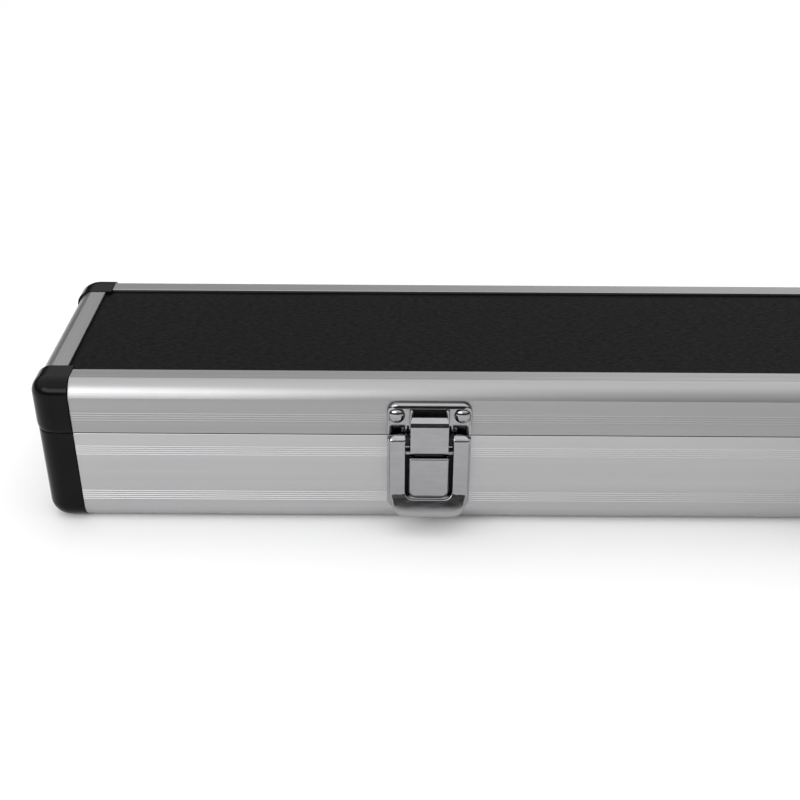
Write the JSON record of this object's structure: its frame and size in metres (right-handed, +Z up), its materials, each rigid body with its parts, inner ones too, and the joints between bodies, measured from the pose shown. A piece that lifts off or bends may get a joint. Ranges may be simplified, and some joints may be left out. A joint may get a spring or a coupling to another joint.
{
  "type": "telescope carry case",
  "caption": "Slim hard carry case with an aluminium rail frame, leather-look panels, hinged lid, toggle latches, folding handle and a foam lining cut for a small telescope.",
  "frame": {"origin": "on the surface that the case lies on, under the middle of its outer box with the handle and hinges included", "axes": "+X along the case, -Y towards the front with the latches and the handle, +Z up out of the lid"},
  "size_m": [0.9, 0.1455, 0.078],
  "materials": {
    "aluminium": "satin anodised, drawn along the rail",
    "corner_plastic": "black moulded plastic, satin to glossy",
    "panel_leather": "black leather-grain skin on fibreboard",
    "chrome": "bright plated steel",
    "foam": "dark open-cell foam",
    "grip_rubber": "black moulded grip"
  },
  "bodies": {
    "base": {"base_corner_front_left": "corner_plastic", "base_corner_front_right": "corner_plastic", "base_corner_rear_left": "corner_plastic", "base_corner_rear_right": "corner_plastic", "base_foam": "foam", "base_panel": "panel_leather", "base_rail_front": "aluminium", "base_rail_left": "aluminium", "base_rail_rear": "aluminium", "base_rail_right": "aluminium", "base_rivet_a_left": "chrome", "base_rivet_a_right": "chrome", "base_rivet_b_left": "chrome", "base_rivet_b_right": "chrome", "bracket_rivet_left_a": "chrome", "bracket_rivet_left_b": "chrome", "bracket_rivet_right_a": "chrome", "bracket_rivet_right_b": "chrome", "handle_bracket_left": "chrome", "handle_bracket_right": "chrome", "hinge_leaf_base_left": "chrome", "hinge_leaf_base_middle": "chrome", "hinge_leaf_base_right": "chrome", "hinge_pin_left": "chrome", "hinge_pin_middle": "chrome", "hinge_pin_right": "chrome", "latch_base_left": "chrome", "latch_base_right": "chrome", "lever_pin_left": "chrome", "lever_pin_right": "chrome"},
    "lid": {"hinge_leaf_lid_left": "chrome", "hinge_leaf_lid_middle": "chrome", "hinge_leaf_lid_right": "chrome", "latch_strike_left": "chrome", "latch_strike_right": "chrome", "lid_corner_front_left": "corner_plastic", "lid_corner_front_right": "corner_plastic", "lid_corner_rear_left": "corner_plastic", "lid_corner_rear_right": "corner_plastic", "lid_foam": "foam", "lid_panel": "panel_leather", "lid_rail_front": "aluminium", "lid_rail_left": "aluminium", "lid_rail_rear": "aluminium", "lid_rail_right": "aluminium", "strike_rivet_a_left": "chrome", "strike_rivet_a_right": "chrome", "strike_rivet_b_left": "chrome", "strike_rivet_b_right": "chrome"},
    "lever_left": {"hook_pin_left": "chrome", "latch_lever_left": "chrome"},
    "lever_right": {"hook_pin_right": "chrome", "latch_lever_right": "chrome"},
    "hook_left": {"latch_hook_left": "chrome"},
    "hook_right": {"latch_hook_right": "chrome"},
    "handle": {"handle_bail": "chrome", "handle_grip": "grip_rubber"}
  },
  "joints": [
    {"name": "lid_hinge", "type": "hinge", "parent": "base", "child": "lid", "pos_m": [0, 0.06735, 0.0515], "axis": [-1, 0, 0], "range_deg": [0, 100]},
    {"name": "latch_lever_left", "type": "hinge", "parent": "base", "child": "lever_left", "pos_m": [-0.2623, -0.05945, 0.052], "axis": [-1, 0, 0], "range_deg": [0, 150]},
    {"name": "latch_hook_left", "type": "hinge", "parent": "lever_left", "child": "hook_left", "pos_m": [-0.2623, -0.05945, 0.045], "axis": [-1, 0, 0], "range_deg": [-150, 0]},
    {"name": "latch_lever_right", "type": "hinge", "parent": "base", "child": "lever_right", "pos_m": [0.2623, -0.05945, 0.052], "axis": [-1, 0, 0], "range_deg": [0, 150]},
    {"name": "latch_hook_right", "type": "hinge", "parent": "lever_right", "child": "hook_right", "pos_m": [0.2623, -0.05945, 0.045], "axis": [-1, 0, 0], "range_deg": [-150, 0]},
    {"name": "handle_swing", "type": "hinge", "parent": "base", "child": "handle", "pos_m": [0, -0.06175, 0.042], "axis": [-1, 0, 0], "range_deg": [0, 170]}
  ],
  "couplings": [
    {"joint": "latch_hook_left", "follows": "latch_lever_left", "ratio": -1},
    {"joint": "latch_hook_right", "follows": "latch_lever_right", "ratio": -1}
  ]
}
